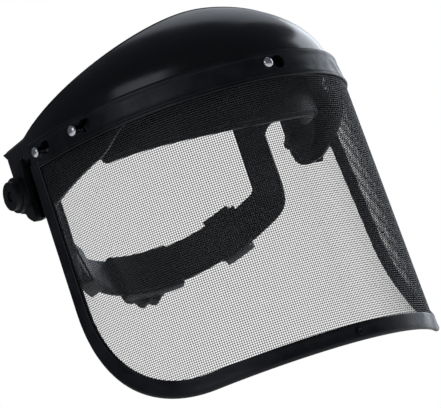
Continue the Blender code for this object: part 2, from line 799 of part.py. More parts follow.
def make_peg(name, degrees, out_reach, in_reach):
    """A push rivet through two layers of strap."""
    z = 22 * MM
    middle = head_point(degrees, z)
    way = head_point(degrees, z, 1.0) - middle
    profile = [
        (0, out_reach + 1.4 * MM),
        (3.2 * MM, out_reach + 1.0 * MM),
        (4.0 * MM, out_reach),
        (2.0 * MM, out_reach),
        (2.0 * MM, -in_reach),
        (3.6 * MM, -in_reach),
        (3.6 * MM, -in_reach - 1.2 * MM),
        (0, -in_reach - 1.2 * MM),
    ]
    turned(name, profile, middle, way, black_satin, steps=14)


def strap_radius(side):
    """The left strap runs inside the right one."""
    if side == "left":
        return NAPE_RADIUS - STRAP_THICKNESS / 2
    return NAPE_RADIUS + STRAP_THICKNESS / 2 + STRAP_GAP


def make_nape_strap(side, sign):
    inner = strap_radius(side)
    radii = (inner, inner + STRAP_THICKNESS)
    angles = (-STRAP_INNER_ANGLE * sign, STRAP_OUTER_ANGLE * sign)
    strap = nape_block(
        f"nape_strap_{side}", radii, angles, (-STRAP_HALF_WIDTH, STRAP_HALF_WIDTH), 24, black_satin
    )
    # a window whose one long edge is a rack: the upper edge on the left strap, the lower on the right
    middle = inner + STRAP_THICKNESS / 2
    pitch = math.degrees(math.pi * MODULE / middle)
    clear = PINION_PITCH_RADIUS + 1.9 * MM
    tips = PINION_PITCH_RADIUS - 1.0 * MM
    deep = (inner - 2 * MM, inner + STRAP_THICKNESS + 2 * MM)
    window = nape_block(
        f"rack_window_{side}",
        deep,
        (RACK_START * sign, RACK_END * sign),
        tuple(sorted((-clear * sign, tips * sign))),
        12,
        cutter=True,
    )
    cut(strap, window)
    first = math.ceil(RACK_START / pitch + 0.3)
    last = math.floor(RACK_END / pitch - 0.3)
    for index in range(first, last + 1):
        cut(strap, rack_gap(f"rack_gap_{side}_{index}", index * pitch * sign, sign, deep, middle))


def rack_gap(name, degrees, sign, radii, middle):
    """The space between two rack teeth, wider at the pinion than at its root."""
    mouth, root = 3.3 * MM, 1.9 * MM
    low, high = PINION_PITCH_RADIUS - 1.6 * MM, PINION_PITCH_RADIUS + 1.6 * MM

    def place(u, v, w):
        width = mouth + (root - mouth) * w
        spread = math.degrees(width / middle) * (u - 0.5)
        radius = radii[0] + (radii[1] - radii[0]) * v
        return nape_point(radius, degrees + spread, sign * (low + (high - low) * w))

    return mapped_block(name, (1, 1, 1), place, cutter=True)


def make_keeper(side, sign):
    """The sleeve that holds a strap against its arm, ribbed for the fingers."""
    angles = (41.5 * sign, 57.0 * sign)
    keeper = nape_block(
        f"strap_keeper_{side}", (74.3 * MM, 84.4 * MM), angles, (-17.4 * MM, 17.4 * MM), 5, black_satin
    )
    slot = nape_block(
        f"keeper_slot_{side}", (75.8 * MM, 82.6 * MM), (36 * sign, 62 * sign), (-15.4 * MM, 15.4 * MM), 8,
        cutter=True,
    )
    cut(keeper, slot)


def pinion_outline():
    """Straight-sided teeth, one of them pointing up."""
    tip, root = PINION_PITCH_RADIUS + 1.0 * MM, PINION_PITCH_RADIUS - 1.45 * MM
    step = 2 * math.pi / PINION_TEETH
    for tooth in range(PINION_TEETH):
        middle = math.pi / 2 + tooth * step
        for radius, width in ((root, 2.3 * MM), (tip, 0.7 * MM), (tip, -0.7 * MM), (root, -2.3 * MM)):
            angle = middle - width / 2 / radius
            yield radius * math.cos(angle), radius * math.sin(angle)


def make_ratchet():
    """The nape adjuster: a case round both straps, with a pinion that a hand knob turns."""
    half_angle = 17.5
    spread = (-half_angle, half_angle)
    base = nape_block("ratchet_base", (73.9 * MM, 75.5 * MM), spread, (-14.6 * MM, 14.6 * MM), 8, black_satin)
    cover = nape_block("ratchet_cover", (75.8 * MM, 83.0 * MM), spread, (-16.4 * MM, 16.4 * MM), 8, black_satin)
    tunnel_sides = (-15.0 * MM, 15.0 * MM)
    tunnel = nape_block("cover_tunnel", (74.0 * MM, 80.3 * MM), (-22, 22), tunnel_sides, 8, cutter=True)
    cut(cover, tunnel)

    def spot(radius):
        return nape_point(radius * MM, 0, 0)

    cut(cover, rod("cover_bore", spot(78), spot(86), 3.9 * MM, cutter=True))
    cut(base, rod("base_bore", spot(70), spot(78), 2.8 * MM, cutter=True))

    # pinion: teeth, a journal in the base and a shaft out to the knob, with a bore for the screw
    axis_turn = Matrix.Identity(3)
    axis_turn.col[0], axis_turn.col[1], axis_turn.col[2] = Vector((-1, 0, 0)), NAPE_UP, REAR
    shape = bmesh.new()
    teeth = [shape.verts.new((x, y, 76.1 * MM)) for x, y in pinion_outline()]
    face = shape.faces.new(teeth)
    raised = bmesh.ops.extrude_face_region(shape, geom=[face])
    grown = [item for item in raised["geom"] if isinstance(item, bmesh.types.BMVert)]
    bmesh.ops.translate(shape, verts=grown, vec=(0, 0, 3.4 * MM))
    shape.normal_update()
    bmesh.ops.recalc_face_normals(shape, faces=shape.faces[:])
    pinion = object_of("ratchet_pinion", shape, nylon)
    pinion.matrix_world = Matrix.Translation(NAPE_CENTRE) @ axis_turn.to_4x4()
    join(pinion, rod("pinion_journal", spot(73.9), spot(77), 2.5 * MM, cutter=True))
    join(pinion, rod("pinion_shaft", spot(78), spot(88.5), 3.5 * MM, cutter=True))
    cut(pinion, rod("pinion_bore", spot(70), spot(95), 1.75 * MM, cutter=True))

    heights = (84.6 * MM, 91.6 * MM, 92.8 * MM, 89.0 * MM)
    radii = (NAPE_KNOB_RADIUS, 16.6 * MM, 8.0 * MM, 3.8 * MM)
    make_knob("ratchet_knob", radii, heights, NAPE_CENTRE, REAR, lobes=10)
    spring = [
        (6.5 * MM, 84.1 * MM),
        (11.5 * MM, 83.95 * MM),
        (11.5 * MM, 83.45 * MM),
        (6.5 * MM, 83.6 * MM),
        (6.5 * MM, 84.1 * MM),
    ]
    turned("ratchet_detent_spring", spring, NAPE_CENTRE, REAR, zinc, steps=20)
    screw = [
        (0, 88.6 * MM),
        (1.45 * MM, 88.6 * MM),
        (1.45 * MM, 73.0 * MM),
        (3.9 * MM, 73.0 * MM),
        (3.5 * MM, 71.8 * MM),
        (0, 71.5 * MM),
    ]
    turned("ratchet_screw", screw, NAPE_CENTRE, REAR, black_satin, steps=16)


def make_top_strap(side, sign):
    """One half of the strap over the head. The right half laps over the left."""
    lap = 0.0 if side == "left" else 1.9 * MM

    def place(u, v, w):
        degrees = -9 + (103 + 9) * u
        angle = math.radians(degrees)
        rise = lap * smoothstep(55, 75, degrees) + 1.5 * MM * w
        x = (TOP_STRAP_HALF_SPAN + rise) * math.cos(angle)
        z = TOP_STRAP_FOOT_Z + (TOP_STRAP_RISE + rise) * math.sin(angle)
        return Vector((sign * x, TOP_STRAP_Y + TOP_STRAP_WIDTH * (v - 0.5), z))

    strap = mapped_block(f"top_strap_{side}", (26, 1, 1), place, black_satin)
    z = TOP_STRAP_FOOT_Z
    for step in range(5):
        # the adjusting holes, which the pin can take in turn
        x = (step - 2) * 7.0 * MM
        near, far = (x, TOP_STRAP_Y, z + 0.04), (x, TOP_STRAP_Y, z + 0.07)
        hole = rod(f"strap_hole_{side}_{step}", near, far, 2.2 * MM, cutter=True, sides=12)
        cut(strap, hole)
    middle = head_point(sign * 86.5, 22 * MM)
    way = head_point(sign * 86.5, 22 * MM, 1.0) - middle
    cut(strap, rod(f"strap_peg_hole_{side}", middle - way * 0.008, middle + way * 0.006, 2.3 * MM, cutter=True))


def make_headgear():
    make_front_band()
    make_sweatband()
    for side, sign in SIDES.items():
        make_arm(side, sign)
        make_peg(f"arm_peg_{side}", sign * 114, 2.3 * MM, 2.7 * MM)
        make_peg(f"strap_peg_{side}", sign * 86.5, 3.4 * MM, 2.7 * MM)
        make_nape_strap(side, sign)
        make_keeper(side, sign)
        make_top_strap(side, sign)
    make_ratchet()
    top = TOP_STRAP_FOOT_Z + TOP_STRAP_RISE
    pin = [
        (0, 5.0 * MM),
        (3.4 * MM, 4.7 * MM),
        (4.0 * MM, 3.9 * MM),
        (1.9 * MM, 3.9 * MM),
        (1.9 * MM, -0.4 * MM),
        (2.9 * MM, -0.4 * MM),
        (2.2 * MM, -1.6 * MM),
        (0, -1.7 * MM),
    ]
    turned("top_strap_pin", pin, (0, TOP_STRAP_Y, top), (0, 0, 1), black_satin, steps=14)


clear_scene()
parts = new_collection("face_shield")
cutters = new_collection("cutters")
black_gloss = finish("black_gloss", (0.012, 0.012, 0.014), 0.12)
black_satin = finish("black_satin", (0.018, 0.018, 0.02), 0.42)
black_vinyl = finish("black_vinyl", (0.022, 0.022, 0.024), 0.5)
black_wire = finish("black_wire", (0.02, 0.02, 0.02), 0.4, 0.3)
foam_grey = finish("foam_grey", (0.03, 0.03, 0.034), 0.95)
nickel = finish("nickel", (0.8, 0.8, 0.82), 0.22, 1.0)
zinc = finish("zinc", (0.62, 0.63, 0.65), 0.32, 1.0)
brass = finish("brass", (0.72, 0.55, 0.25), 0.3, 1.0)
nylon = finish("nylon", (0.7, 0.7, 0.68), 0.5)

make_crown()
make_visor()
make_studs()
make_pivots()
make_headgear()
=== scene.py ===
"""Brow-guard face shield with a woven wire visor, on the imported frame. Metres; the wearer looks along -Y."""

import math

import bpy
import numpy as np
from mathutils import Matrix, Vector


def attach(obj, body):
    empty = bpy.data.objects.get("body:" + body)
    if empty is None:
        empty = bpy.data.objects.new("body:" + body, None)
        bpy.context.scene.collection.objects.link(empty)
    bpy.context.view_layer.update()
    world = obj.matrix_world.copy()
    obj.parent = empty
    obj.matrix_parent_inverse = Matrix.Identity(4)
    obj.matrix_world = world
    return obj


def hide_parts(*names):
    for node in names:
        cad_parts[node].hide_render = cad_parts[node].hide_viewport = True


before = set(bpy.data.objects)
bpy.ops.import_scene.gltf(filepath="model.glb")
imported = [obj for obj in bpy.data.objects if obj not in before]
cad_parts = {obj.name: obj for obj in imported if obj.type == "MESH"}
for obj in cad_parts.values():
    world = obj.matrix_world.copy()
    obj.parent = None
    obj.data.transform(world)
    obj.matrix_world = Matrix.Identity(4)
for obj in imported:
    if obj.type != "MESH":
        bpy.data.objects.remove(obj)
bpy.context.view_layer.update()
MM = 0.001

# ---------------------------------------------------------------- camera

CAMERA_PLACE = Vector((-0.80265, -1.26040, -0.29887))
CAMERA_TARGET = Vector((-0.01655, -0.0690, -0.04816))
CAMERA_ROLL = math.radians(18.73)
CAMERA_LENS = 186.7  # millimetres on a 36 mm frame


def add_camera():
    bpy.ops.object.camera_add(location=CAMERA_PLACE)
    camera = bpy.context.object
    camera.name = "studio_camera"
    camera.data.lens = CAMERA_LENS
    camera.data.sensor_width = 36
    camera.data.clip_start = 0.05
    aim = (CAMERA_TARGET - CAMERA_PLACE).to_track_quat("-Z", "Y").to_matrix()
    turn = aim @ Matrix.Rotation(-CAMERA_ROLL, 3, "Z")
    camera.matrix_world = Matrix.Translation(CAMERA_PLACE) @ turn.to_4x4()
    bpy.context.scene.camera = camera


# ---------------------------------------------------------------- sizes, as in the CAD

PLAN_CENTRE, PLAN_POWER = -19.5 * MM, 1.032
CROWN_HALF_WIDTH, CROWN_HALF_DEPTH, CROWN_HEIGHT = 108.4 * MM, 120.0 * MM, 63.7 * MM
DOME_POWER = 1.87
CREASE_Z = 24.5 * MM
CROWN_WALL = 2.2 * MM
RIM_SIDE, RIM_RISE = 7.5 * MM, 42.5 * MM
EAR_REACH, EAR_TIP_SWEEP, EAR_DROP = 106.0, 3.0, -20.5 * MM
STUD_HOLE, PIVOT_HOLE = 2.2 * MM, 3.4 * MM
EAR_PIN_PLACE, EAR_PIN_HOLE = (-8 * MM, 20.3 * MM), 1.6 * MM

VISOR_HALF_WIDTH_TOP, VISOR_HALF_WIDTH_BOTTOM = 113.2 * MM, 120.0 * MM
VISOR_HALF_DEPTH_TOP, VISOR_HALF_DEPTH_BOTTOM = 124.6 * MM, 122.2 * MM
STRIP_LEAN = 2.4 * MM
VISOR_TOP_Z, STRIP_BOTTOM_Z, VISOR_BOTTOM_Z = 24.6 * MM, 6.5 * MM, -162.0 * MM
VISOR_SAG = 5.4 * MM
EDGE_ANGLE_TOP, EDGE_ANGLE_BOTTOM = 86.9, 82.2
CORNER_RADIUS = 78.0 * MM
BINDING_REACH, BINDING_TOP_Z = 8.4 * MM, 11.0 * MM
STUD_Z = 16.5 * MM
STUDS = {"front": 0.0, "left_front": 65.7, "left_side": 82.7, "right_front": -65.7, "right_side": -82.7}
KEYHOLE_RADIUS, KEYHOLE_SHIFT, SLOT_HALF = 4.4 * MM, 9.5 * MM, 2.3 * MM

HEAD_CENTRE, HEAD_HALF_WIDTH, HEAD_HALF_DEPTH = -24.0 * MM, 88.0 * MM, 98.0 * MM
PAD_BOTTOM_SIDE, PAD_BOTTOM_DIP, PAD_END = -3.6 * MM, 10.4 * MM, 73.0
BAND_TOP_SIDE, BAND_TOP_DIP = 30.0 * MM, 14.0 * MM
NAPE_CENTRE = Vector((0, 1.6 * MM, -28.2 * MM))
NAPE_TILT = math.radians(20)
REAR = Vector((0, math.cos(NAPE_TILT), -math.sin(NAPE_TILT)))
NAPE_UP = Vector((0, math.sin(NAPE_TILT), math.cos(NAPE_TILT)))
SIDES = {"left": 1, "right": -1}

# the woven sheet
WIRE_PITCH = 1.4 * MM
WIRE_RADIUS = 0.19 * MM


def smoothstep(low, high, value):
    share = min(1.0, max(0.0, (value - low) / (high - low)))
    return share * share * (3 - 2 * share)


def plan_point(degrees, half_width, half_depth):
    angle = math.radians(degrees)
    across, ahead = abs(math.sin(angle)) ** PLAN_POWER, abs(math.cos(angle)) ** PLAN_POWER
    x = half_width if abs(degrees) > 90 else half_width * across
    y = PLAN_CENTRE - half_depth * math.copysign(ahead, math.cos(angle))
    return Vector((math.copysign(x, degrees), y, 0))


def plan_normal(degrees, half_width, half_depth):
    angle = math.radians(max(-90, min(90, degrees)))
    return Vector((math.sin(angle) / half_width, -math.cos(angle) / half_depth, 0)).normalized()


def crown_rim(degrees):
    return RIM_SIDE + RIM_RISE * max(0.0, math.cos(math.radians(degrees))) ** 1.08


def skirt_bottom(degrees):
    away = abs(degrees)
    low = 8.0 * MM - 14.0 * MM * smoothstep(48, 63, away)
    low += (EAR_DROP + 6.0 * MM) * min(1.0, max(0.0, (away - 63) / 27))
    corner = max(0.0, (away - 96) / (EAR_REACH - 96))
    return low + 13.0 * MM * (1 - math.sqrt(max(0.0, 1 - corner**2)))


def visor_drop(z):
    return (STRIP_BOTTOM_Z - z) / (STRIP_BOTTOM_Z - VISOR_BOTTOM_Z)


def visor_size(z):
    lean = STRIP_LEAN * max(0.0, (z - STRIP_BOTTOM_Z) / (VISOR_TOP_Z - STRIP_BOTTOM_Z))
    drop = max(0.0, visor_drop(z))
    half_width = VISOR_HALF_WIDTH_TOP + (VISOR_HALF_WIDTH_BOTTOM - VISOR_HALF_WIDTH_TOP) * drop
    half_depth = VISOR_HALF_DEPTH_TOP + (VISOR_HALF_DEPTH_BOTTOM - VISOR_HALF_DEPTH_TOP) * drop
    return half_width - lean, half_depth - lean


def visor_point(degrees, z, out=0.0):
    size = visor_size(z)
    place = plan_point(degrees, *size) + plan_normal(degrees, *size) * out
    place.z = z
    return place


def visor_pace(degrees, z):
    half_width, half_depth = visor_size(z)
    angle = math.radians(degrees)
    return math.hypot(half_width * math.cos(angle), half_depth * math.sin(angle)) * math.pi / 180


def visor_edge(z):
    return EDGE_ANGLE_TOP + (EDGE_ANGLE_BOTTOM - EDGE_ANGLE_TOP) * max(0.0, visor_drop(z))


def visor_bottom(degrees):
    return VISOR_BOTTOM_Z - VISOR_SAG * (1 - math.cos(math.radians(degrees)))


def visor_floor(degrees):
    """Z of the visor's lower edge, with its rounded corners."""
    away = abs(degrees)
    bottom = visor_bottom(away)
    inside = (EDGE_ANGLE_BOTTOM - away) * visor_pace(70, bottom)
    if inside >= CORNER_RADIUS:
        return bottom
    inside = max(inside, 0.0)
    return bottom + CORNER_RADIUS - math.sqrt(CORNER_RADIUS**2 - (CORNER_RADIUS - inside) ** 2)


def head_point(degrees, z, out=0.0):
    angle = math.radians(degrees)
    place = Vector((HEAD_HALF_WIDTH * math.sin(angle), HEAD_CENTRE - HEAD_HALF_DEPTH * math.cos(angle), z))
    normal = Vector((math.sin(angle) / HEAD_HALF_WIDTH, -math.cos(angle) / HEAD_HALF_DEPTH, 0))
    return place + normal.normalized() * out


def pad_bottom(degrees):
    return PAD_BOTTOM_SIDE - PAD_BOTTOM_DIP * max(0.0, math.cos(math.radians(degrees))) ** 2


def band_top(degrees):
    return BAND_TOP_SIDE - BAND_TOP_DIP * max(0.0, math.cos(math.radians(degrees))) ** 2


def nape_point(radius, degrees, height):
    angle = math.radians(degrees)
    spoke = Vector((math.sin(angle), 0, 0)) + REAR * math.cos(angle)
    return NAPE_CENTRE + spoke * radius + NAPE_UP * height


# ---------------------------------------------------------------- modelling


def deselect():
    bpy.ops.object.select_all(action="DESELECT")


def pick(piece):
    deselect()
    piece.select_set(True)
    bpy.context.view_layer.objects.active = piece


def settle(piece):
    """Puts the piece's place into its mesh."""
    pick(piece)
    bpy.ops.object.transform_apply(location=True, rotation=True, scale=True)


def finish_modifier(piece, kind, **settings):
    """Adds a modifier and applies it."""
    pick(piece)
    step = piece.modifiers.new(kind.lower(), kind)
    for name, value in settings.items():
        setattr(step, name, value)
    bpy.ops.object.modifier_apply(modifier=step.name)


def soften(piece, width, segments=2, angle=30):
    finish_modifier(
        piece, "BEVEL", width=width, segments=segments, limit_method="ANGLE",
        angle_limit=math.radians(angle), harden_normals=False,
    )


def shade(piece, angle=35):
    pick(piece)
    bpy.ops.object.shade_smooth_by_angle(angle=math.radians(angle))


def dress(piece, material, body):
    piece.data.materials.clear()
    piece.data.materials.append(material)
    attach(piece, body)
    return piece


def laid_grid(name, columns, rows, place):
    """A grid whose points are laid on place(u, v)."""
    deselect()
    bpy.ops.mesh.primitive_grid_add(x_subdivisions=columns, y_subdivisions=rows, size=1)
    piece = bpy.context.object
    piece.name = piece.data.name = name
    for point in piece.data.vertices:
        point.co = place(point.co.x + 0.5, point.co.y + 0.5)
    return piece


def turned_cup(name, radius, rings, start, direction, sides=40):
    """A round piece raised from a disc: each ring is (radius, height) above the start."""
    deselect()
    bpy.ops.mesh.primitive_circle_add(vertices=sides, radius=radius, fill_type="NGON")
    piece = bpy.context.object
    piece.name = piece.data.name = name
    bpy.ops.object.mode_set(mode="EDIT")
    bpy.ops.mesh.select_all(action="SELECT")
    reached, wide = 0.0, radius
    for ring_radius, height in rings:
        bpy.ops.mesh.extrude_region_move(TRANSFORM_OT_translate={"value": (0, 0, height - reached)})
        if ring_radius != wide:
            share = ring_radius / wide
            bpy.ops.transform.resize(value=(share, share, 1), center_override=(0, 0, height))
        reached, wide = height, ring_radius
    bpy.ops.mesh.select_all(action="SELECT")
    bpy.ops.mesh.normals_make_consistent(inside=False)
    bpy.ops.object.mode_set(mode="OBJECT")
    turn = Vector(direction).to_track_quat("Z", "Y").to_matrix().to_4x4()
    piece.matrix_world = Matrix.Translation(Vector(start)) @ turn
    settle(piece)
    return piece


def rounded_copy(node, width, body, segments=2):
    """A satin black piece with the CAD node's shape and its edges rounded over."""
    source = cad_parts[node]
    pick(source)
    bpy.ops.object.duplicate(linked=False)
    piece = bpy.context.object
    piece.name = piece.data.name = f"{node}_rounded"
    bpy.ops.object.mode_set(mode="EDIT")
    bpy.ops.mesh.select_all(action="SELECT")
    bpy.ops.mesh.remove_doubles(threshold=0.00002)
    bpy.ops.mesh.dissolve_limited(angle_limit=math.radians(1.2))
    bpy.ops.object.mode_set(mode="OBJECT")
    soften(piece, width * MM, segments, 35)
    shade(piece, 40)
    dress(piece, satin, body)
    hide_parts(node)


# ---------------------------------------------------------------- materials


class Finish:
    """A Principled material with the few node steps that its finish is made of."""

    def __init__(self, name, colour, roughness, metallic=0.0, **sockets):
        self.material = bpy.data.materials.new(name)
        self.material.use_nodes = True
        self.tree = self.material.node_tree
        self.shader = self.tree.nodes["Principled BSDF"]
        self.set("Base Color", (*colour, 1))
        self.set("Roughness", roughness)
        self.set("Metallic", metallic)
        for socket, value in sockets.items():
            self.set(socket.replace("_", " "), value)
        self.place = self.add("ShaderNodeTexCoord").outputs["Object"]
        self.last_bump = None

    def set(self, socket, value):
        self.shader.inputs[socket].default_value = value

    def add(self, kind, **inputs):
        node = self.tree.nodes.new(kind)
        for name, value in inputs.items():
            node.inputs[name.replace("_", " ")].default_value = value
        return node

    def join(self, output, node, socket):
        self.tree.links.new(output, node.inputs[socket])

    def noise(self, scale, detail=3.0, stretch=None):
        node = self.add("ShaderNodeTexNoise", Scale=scale, Detail=detail)
        if stretch:
            mapping = self.add("ShaderNodeMapping", Scale=stretch)
            self.join(self.place, mapping, "Vector")
            self.join(mapping.outputs["Vector"], node, "Vector")
        else:
            self.join(self.place, node, "Vector")
        return node.outputs["Fac"]

    def cells(self, scale):
        node = self.add("ShaderNodeTexVoronoi", Scale=scale)
        self.join(self.place, node, "Vector")
        return node.outputs["Distance"]

    def roughness_from(self, source, low, high):
        spread = self.add("ShaderNodeMapRange", From_Min=0.3, From_Max=0.7, To_Min=low, To_Max=high)
        self.join(source, spread, "Value")
        self.join(spread.outputs["Result"], self.shader, "Roughness")
        return self

    def colour_from(self, source, dark, light, low=0.35, high=0.65):
        ramp = self.add("ShaderNodeValToRGB")
        ramp.color_ramp.elements[0].position, ramp.color_ramp.elements[1].position = low, high
        ramp.color_ramp.elements[0].color, ramp.color_ramp.elements[1].color = (*dark, 1), (*light, 1)
        self.join(source, ramp, "Fac")
        self.join(ramp.outputs["Color"], self.shader, "Base Color")
        return self

    def bump_from(self, source, strength, distance):
        bump = self.add("ShaderNodeBump", Strength=strength, Distance=distance)
        self.join(source, bump, "Height")
        if self.last_bump:
            self.join(self.last_bump, bump, "Normal")
        self.last_bump = bump.outputs["Normal"]
        self.join(self.last_bump, self.shader, "Normal")
        return self


def moulded_gloss():
    """Black ABS straight from a polished mould: a faint waviness, and dust-fine dulling."""
    made = Finish(
        "gloss_black_crown", (0.0022, 0.0025, 0.0034), 0.2, IOR=1.5, Coat_Weight=0.25, Coat_Roughness=0.18,
    )
    made.roughness_from(made.noise(60, 4), 0.17, 0.27)
    made.bump_from(made.noise(38, 2), 0.05, 0.0006)
    made.bump_from(made.noise(1400, 2), 0.03, 0.00005)
    return made.material


def moulded_satin():
    """Black nylon with a fine spark-eroded grain."""
    made = Finish("satin_black_nylon", (0.005, 0.0055, 0.007), 0.42, IOR=1.42)
    made.roughness_from(made.noise(120, 5), 0.34, 0.5)
    made.colour_from(made.noise(70, 4), (0.0032, 0.0035, 0.0045), (0.0075, 0.008, 0.0098))
    made.bump_from(made.cells(1900), 0.18, 0.00012)
    made.bump_from(made.noise(50, 2), 0.08, 0.0004)
    return made.material


def strip_vinyl():
    """Soft black vinyl with drawn streaks and scuffs."""
    made = Finish("black_vinyl_strip", (0.007, 0.0075, 0.009), 0.4, IOR=1.42)
    made.roughness_from(made.noise(90, 5), 0.27, 0.5)
    made.colour_from(made.noise(45, 5), (0.0036, 0.004, 0.0055), (0.0135, 0.0145, 0.0185))
    made.bump_from(made.noise(220, 3, stretch=(1, 1, 4)), 0.24, 0.0004)
    made.bump_from(made.cells(1500), 0.1, 0.00008)
    return made.material


def coated_wire():
    """Black lacquered steel wire, its colour lighter in random patches."""
    made = Finish("lacquered_wire", (0.02, 0.02, 0.021), 0.34, Coat_Weight=0.5, Coat_Roughness=0.12)
    made.colour_from(made.noise(700, 2), (0.012, 0.012, 0.013), (0.035, 0.035, 0.037))
    made.roughness_from(made.noise(300, 3), 0.24, 0.42)
    return made.material


def polished_nickel():
    made = Finish("polished_nickel", (0.94, 0.94, 0.95), 0.24, 1.0)
    made.roughness_from(made.noise(900, 4), 0.12, 0.3)
    made.bump_from(made.noise(1200, 3), 0.05, 0.0001)
    return made.material


def zinc_steel():
    made = Finish("zinc_plated_steel", (0.6, 0.61, 0.64), 0.3, 1.0)
    made.colour_from(made.noise(400, 4), (0.5, 0.51, 0.53), (0.68, 0.69, 0.71))
    made.roughness_from(made.noise(700, 4), 0.24, 0.42)
    made.bump_from(made.noise(1600, 2, stretch=(1, 6, 1)), 0.06, 0.0001)
    return made.material


def turned_brass():
    made = Finish("turned_brass", (0.72, 0.52, 0.22), 0.28, 1.0)
    made.roughness_from(made.noise(800, 3), 0.22, 0.4)
    return made.material


def natural_nylon():
    made = Finish("natural_nylon", (0.62, 0.61, 0.57), 0.45, Subsurface_Weight=0.1)
    made.colour_from(made.noise(200, 3), (0.56, 0.55, 0.51), (0.68, 0.67, 0.63))
    made.bump_from(made.cells(1600), 0.08, 0.0001)
    return made.material


def towelling():
    """Charcoal brushed knit over foam, its courses following the band."""
    made = Finish("charcoal_knit", (0.018, 0.018, 0.021), 0.92, Sheen_Weight=0.5, Sheen_Roughness=0.4)
    made.colour_from(made.noise(1100, 3), (0.011, 0.011, 0.013), (0.032, 0.032, 0.036))
    rows = made.add("ShaderNodeTexWave", Scale=520.0, Distortion=2.5, Detail=2.0)
    rows.bands_direction = "Z"
    made.join(made.place, rows, "Vector")
    made.bump_from(rows.outputs["Fac"], 0.12, 0.0003)
    made.bump_from(made.noise(1500, 3), 0.35, 0.0004)
    return made.material


# ---------------------------------------------------------------- crown


def crown_point(u, v):
    """The crown's outer face: u from the right ear to the left, v down from the rear rim."""
    nominal = (2 * u - 1) * EAR_REACH
    degrees = nominal * (1 + EAR_TIP_SWEEP / EAR_REACH * max(0.0, 1 - v / 0.45))
    dome_share = 0.7
    if v <= dome_share:
        height = crown_rim(nominal) * (1 - v / dome_share)
        spread = math.sqrt(1 - (height / CROWN_HEIGHT) ** DOME_POWER)
        return plan_point(degrees, CROWN_HALF_WIDTH * spread, CROWN_HALF_DEPTH * spread) + Vector(
            (0, 0, CREASE_Z + height)
        )
    down = (v - dome_share) / (1 - dome_share)
    place = plan_point(degrees, CROWN_HALF_WIDTH, CROWN_HALF_DEPTH)
    return place + Vector((0, 0, CREASE_Z + (skirt_bottom(nominal) - CREASE_Z) * down))


def drill(piece, *tools):
    """Cuts each tool's shape out of the piece and removes the tool."""
    for tool in tools:
        finish_modifier(piece, "BOOLEAN", operation="DIFFERENCE", object=tool, solver="EXACT")
        bpy.data.objects.remove(tool)


def pin_tool(start, end, radius, sides=32):
    deselect()
    line = Vector(end) - Vector(start)
    bpy.ops.mesh.primitive_cylinder_add(vertices=sides, radius=radius, depth=line.length)
    tool = bpy.context.object
    turn = line.to_track_quat("Z", "Y").to_matrix().to_4x4()
    tool.matrix_world = Matrix.Translation(Vector(start) + line / 2) @ turn
    settle(tool)
    return tool


def stud_lines():
    for name, degrees in STUDS.items():
        point = visor_point(degrees, STUD_Z)
        yield name, degrees, point, plan_normal(degrees, *visor_size(STUD_Z))


def make_crown():
    crown = laid_grid("crown", 200, 70, crown_point)
    finish_modifier(crown, "SOLIDIFY", thickness=CROWN_WALL, offset=1)
    for _, _, point, normal in stud_lines():
        drill(crown, pin_tool(point - normal * 12 * MM, point + normal * 10 * MM, STUD_HOLE))
    for sign in SIDES.values():
        inside, outside = sign * 100 * MM, sign * 120 * MM
        drill(crown, pin_tool((inside, 0, 0), (outside, 0, 0), PIVOT_HOLE))
        drill(crown, pin_tool((inside, *EAR_PIN_PLACE), (outside, *EAR_PIN_PLACE), EAR_PIN_HOLE))
    soften(crown, 0.5 * MM, 2, 50)
    shade(crown, 40)
    dress(crown, gloss, "shield")
    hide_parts("crown_shell")

    # the rolled lip round the crown's open back
    def lip_point(u, v):
        edge = crown_point(u, 0.0)
        inner = crown_point(u, 0.02)
        along = (crown_point(min(u + 0.004, 1), 0) - crown_point(max(u - 0.004, 0), 0)).normalized()
        down = (inner - edge).normalized()
        side = along.cross(down).normalized()
        turn = 2 * math.pi * v
        radius = 1.5 * MM * min(1.0, 0.35 + 40 * min(u, 1 - u))
        centre = edge + side * CROWN_WALL / 2 + down * 0.6 * MM
        return centre + (side * math.cos(turn) + down * math.sin(turn)) * radius

    lip = laid_grid("crown_lip", 220, 12, lip_point)
    close_tube(lip)
    shade(lip, 60)
    dress(lip, gloss, "shield")


def close_tube(piece):
    """Welds the seam along a tube and caps its two ends."""
    pick(piece)
    bpy.ops.object.mode_set(mode="EDIT")
    bpy.ops.mesh.select_all(action="SELECT")
    bpy.ops.mesh.remove_doubles(threshold=0.000005)
    bpy.ops.mesh.select_all(action="DESELECT")
    bpy.ops.mesh.select_mode(type="EDGE")
    bpy.ops.mesh.select_non_manifold(
        extend=False, use_wire=False, use_multi_face=False, use_non_contiguous=False, use_verts=False,
    )
    bpy.ops.mesh.edge_face_add()
    bpy.ops.mesh.select_all(action="SELECT")
    bpy.ops.mesh.normals_make_consistent(inside=False)
    bpy.ops.mesh.select_mode(type="VERT")
    bpy.ops.object.mode_set(mode="OBJECT")


def section_at(section, share):
    """A point of a closed cross-section, by its share of the way round in corners."""
    position = (share % 1.0) * len(section)
    index = round(position) % len(section)
    return section[index]


# ---------------------------------------------------------------- visor


